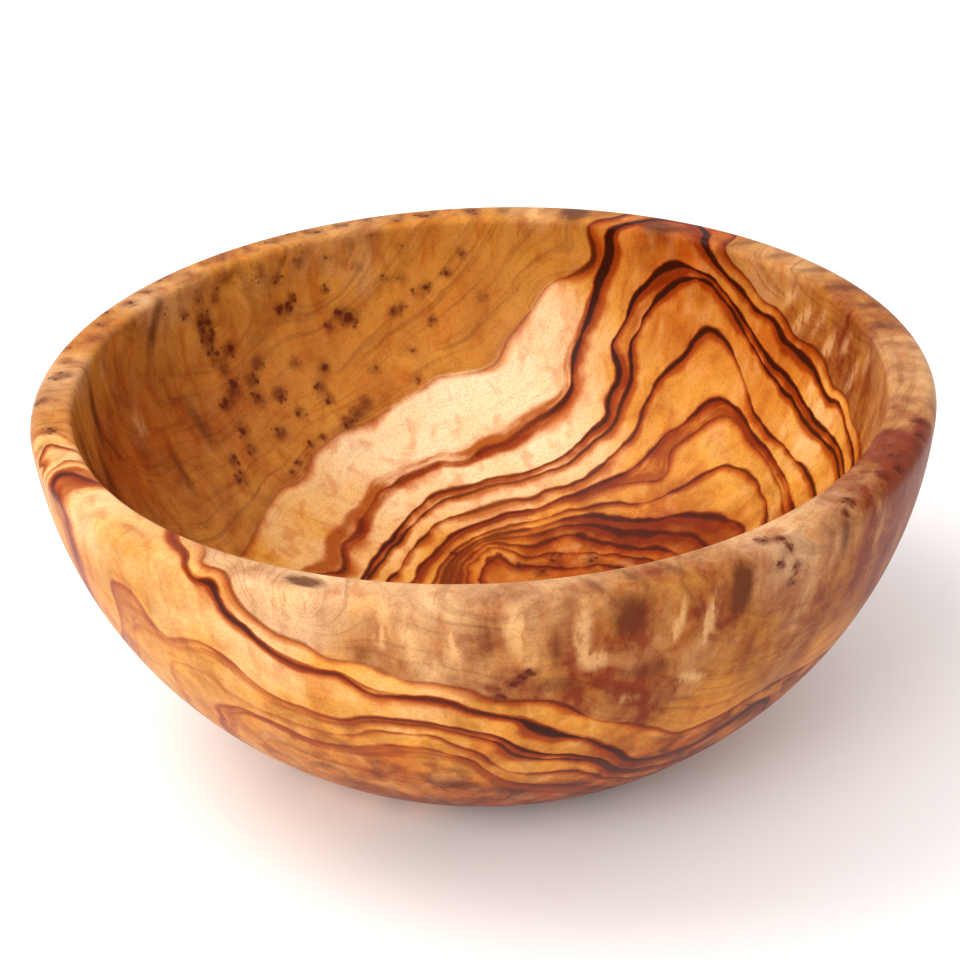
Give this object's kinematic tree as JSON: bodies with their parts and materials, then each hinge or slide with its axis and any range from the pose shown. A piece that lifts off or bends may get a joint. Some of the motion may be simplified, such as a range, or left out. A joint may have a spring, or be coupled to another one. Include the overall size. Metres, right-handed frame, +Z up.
{
  "type": "yarn bowl",
  "caption": "Round turned wooden bowl with an even thick wall, a softly rounded rim and a flat turned foot, for keeping a ball of yarn in while knitting.",
  "frame": {"origin": "centre of the foot, on the surface that the bowl stands on", "axes": "+Z up along the axis of turning; X and Y are equal, with +Y away from the viewer at rest"},
  "size_m": [0.1596, 0.1596, 0.066],
  "materials": {
    "olive_wood": "satin"
  },
  "bodies": {
    "root": {"bowl": "olive_wood"}
  },
  "joints": []
}
